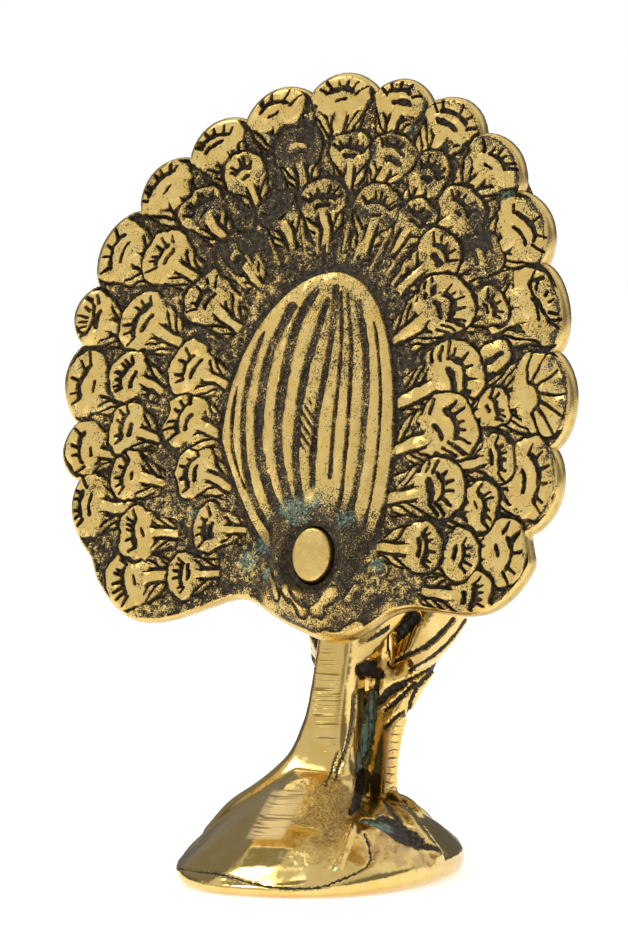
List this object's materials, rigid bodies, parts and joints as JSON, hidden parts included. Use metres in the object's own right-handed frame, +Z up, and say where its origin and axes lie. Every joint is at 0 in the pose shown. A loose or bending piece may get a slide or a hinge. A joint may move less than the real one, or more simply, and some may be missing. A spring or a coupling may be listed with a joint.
{
  "type": "peacock figurine",
  "caption": "Solid brass peacock on a mound with its train spread in a carved scalloped fan, a shelf ornament.",
  "frame": {"origin": "centre of the mound's flat underside", "axes": "+Z up, +Y the way the bird faces, +X to the right seen from behind the tail"},
  "size_m": [0.0669, 0.0535, 0.0975],
  "materials": {
    "polished_brass": "hand polished, fine scratches, dark green patina left in the recesses",
    "patinated_brass": "buffed high points over a dark patinated ground with spots of verdigris"
  },
  "bodies": {
    "root": {"peacock_on_base": "polished_brass", "tail_fan": "patinated_brass"}
  },
  "joints": []
}
